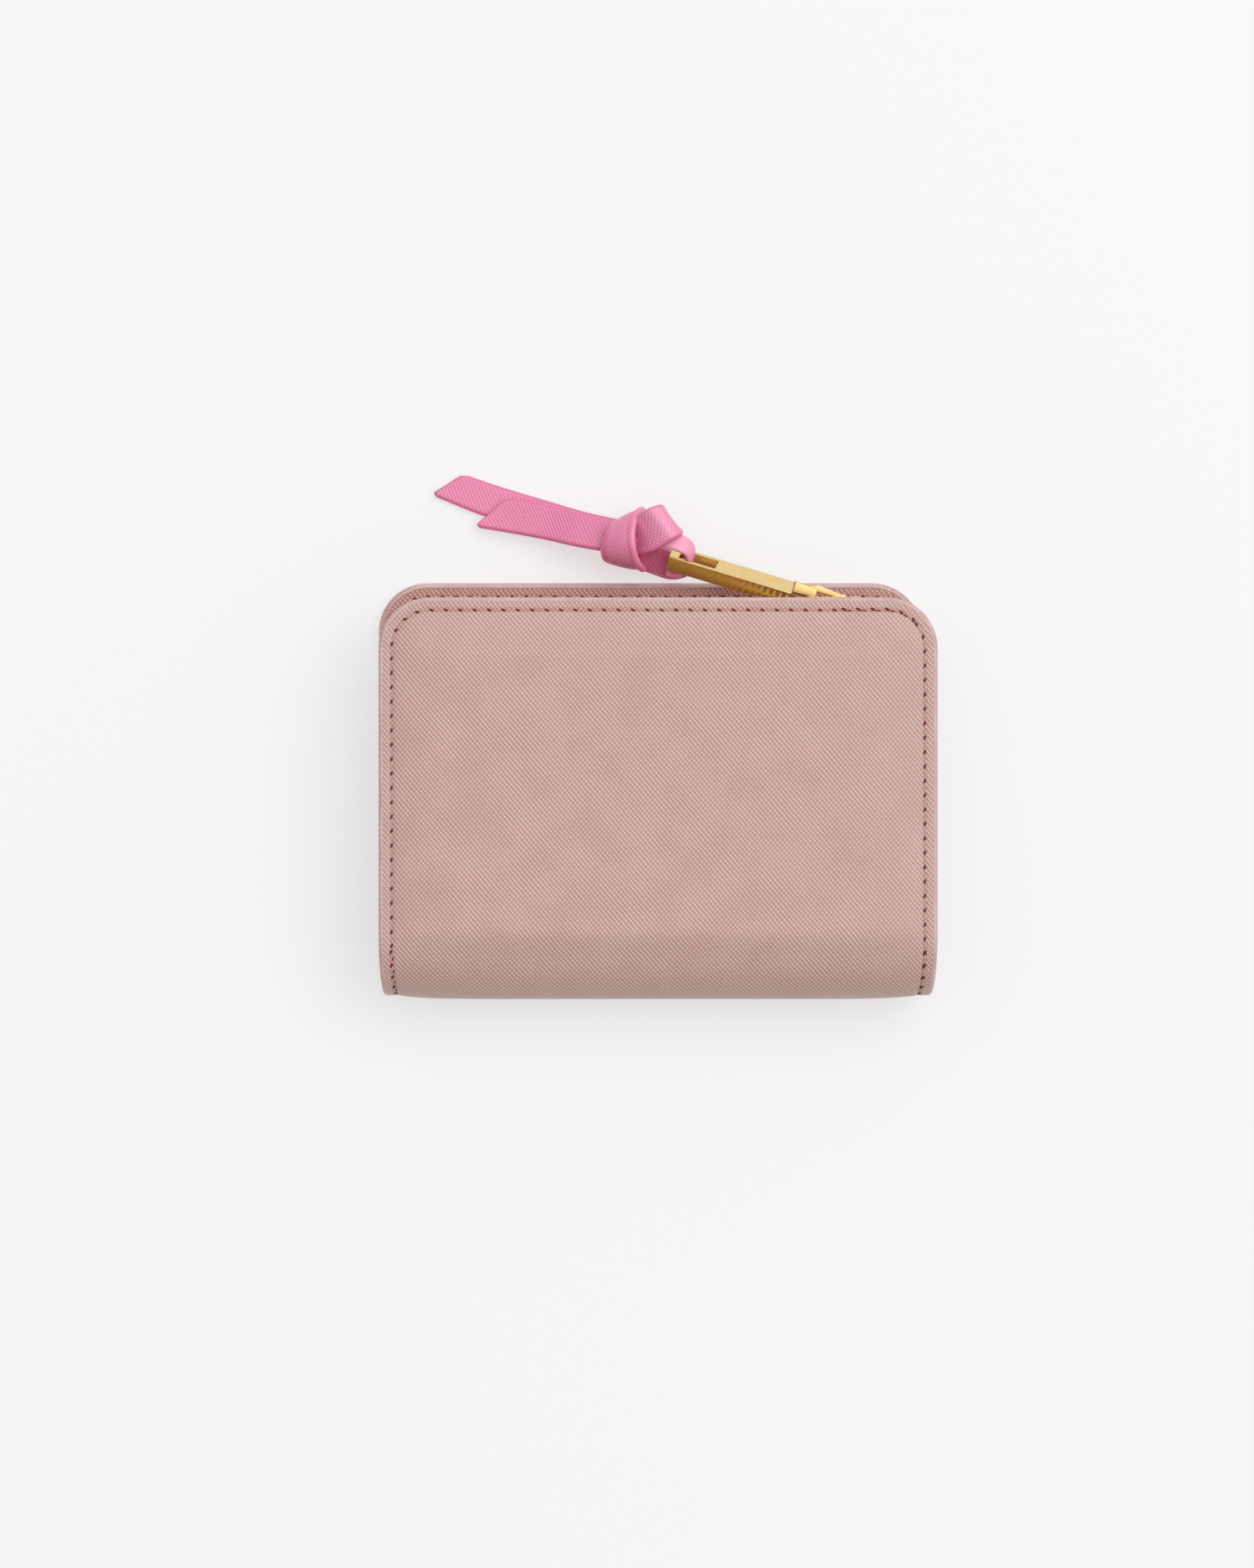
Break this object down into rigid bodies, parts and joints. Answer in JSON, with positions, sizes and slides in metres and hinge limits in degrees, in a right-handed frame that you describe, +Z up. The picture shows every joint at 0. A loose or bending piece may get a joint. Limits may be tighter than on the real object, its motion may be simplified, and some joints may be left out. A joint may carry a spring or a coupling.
{
  "type": "wristlet wallet",
  "caption": "Compact bifold leather wallet with a zipped coin pocket, stepped card pockets, a snap, and a gold bar puller on a knotted strap.",
  "frame": {"origin": "centre of the front half's flat underside, on the table it lies on", "axes": "+X along the zip to its closed end, +Y from the fold to the free edges, +Z up through the closed wallet"},
  "size_m": [0.1164, 0.1143, 0.023],
  "materials": {
    "rose_leather": "cross-hatched grain, satin",
    "inner_leather": "fine cross-hatched grain, satin",
    "board": "pressed fibre board, matte",
    "lining_cloth": "fine twill, matte",
    "zip_tape": "herringbone tape, matte",
    "gold_metal": "pale gold plate, polished",
    "strap_leather": "fine cross-hatched grain, satin"
  },
  "bodies": {
    "front_half": {"front_cover": "rose_leather", "front_board": "board", "front_lining": "inner_leather", "card_pocket_1": "inner_leather", "card_pocket_2": "inner_leather", "card_pocket_3": "inner_leather", "snap_socket": "gold_metal"},
    "spine": {"spine_board": "board", "spine_leather": "rose_leather", "spine_lining": "inner_leather"},
    "back_half": {"back_cover": "rose_leather", "back_board": "board", "coin_lining_outer": "lining_cloth", "coin_lining_inner": "lining_cloth", "coin_wall_board": "board", "coin_wall": "inner_leather", "coin_pocket_floor": "inner_leather", "gusset_left": "inner_leather", "gusset_right": "inner_leather", "zip_tape_outer": "zip_tape", "zip_tape_inner": "zip_tape", "zip_teeth_outer": "gold_metal", "zip_teeth_inner": "gold_metal", "zip_top_stop_outer": "gold_metal", "zip_top_stop_inner": "gold_metal", "zip_bottom_stop": "gold_metal", "snap_stud": "gold_metal"},
    "zip_slider": {"zip_slider": "gold_metal"},
    "puller": {"puller_bar": "gold_metal"},
    "strap": {"pull_strap": "strap_leather"}
  },
  "joints": [
    {"name": "front_fold", "type": "hinge", "parent": "front_half", "child": "spine", "pos_m": [0, -0.04075, 0.0029], "axis": [1, 0, 0], "range_deg": [0, 88], "deforming": ["spine_leather", "spine_lining"]},
    {"name": "back_fold", "type": "hinge", "parent": "spine", "child": "back_half", "pos_m": [0, -0.04075, 0.0189], "axis": [1, 0, 0], "range_deg": [0, 88], "deforming": ["spine_leather", "spine_lining"]},
    {"name": "zip_slide", "type": "slide", "parent": "back_half", "child": "zip_slider", "axis": [1, 0, 0], "range_m": [-0.077, 0], "deforming": ["zip_teeth_outer", "zip_teeth_inner"]},
    {"name": "puller_swing", "type": "hinge", "parent": "zip_slider", "child": "puller", "pos_m": [0.0323, 0.04075, 0.0141], "axis": [0, 0, 1], "range_deg": [-115, 0]},
    {"name": "strap_swing", "type": "hinge", "parent": "puller", "child": "strap", "pos_m": [0.00391, 0.04815, 0.00889], "axis": [0.2878, 0.5552, -0.7803], "range_deg": [0, 85]}
  ],
  "couplings": [
    {"joint": "back_fold", "follows": "front_fold", "ratio": 1}
  ]
}
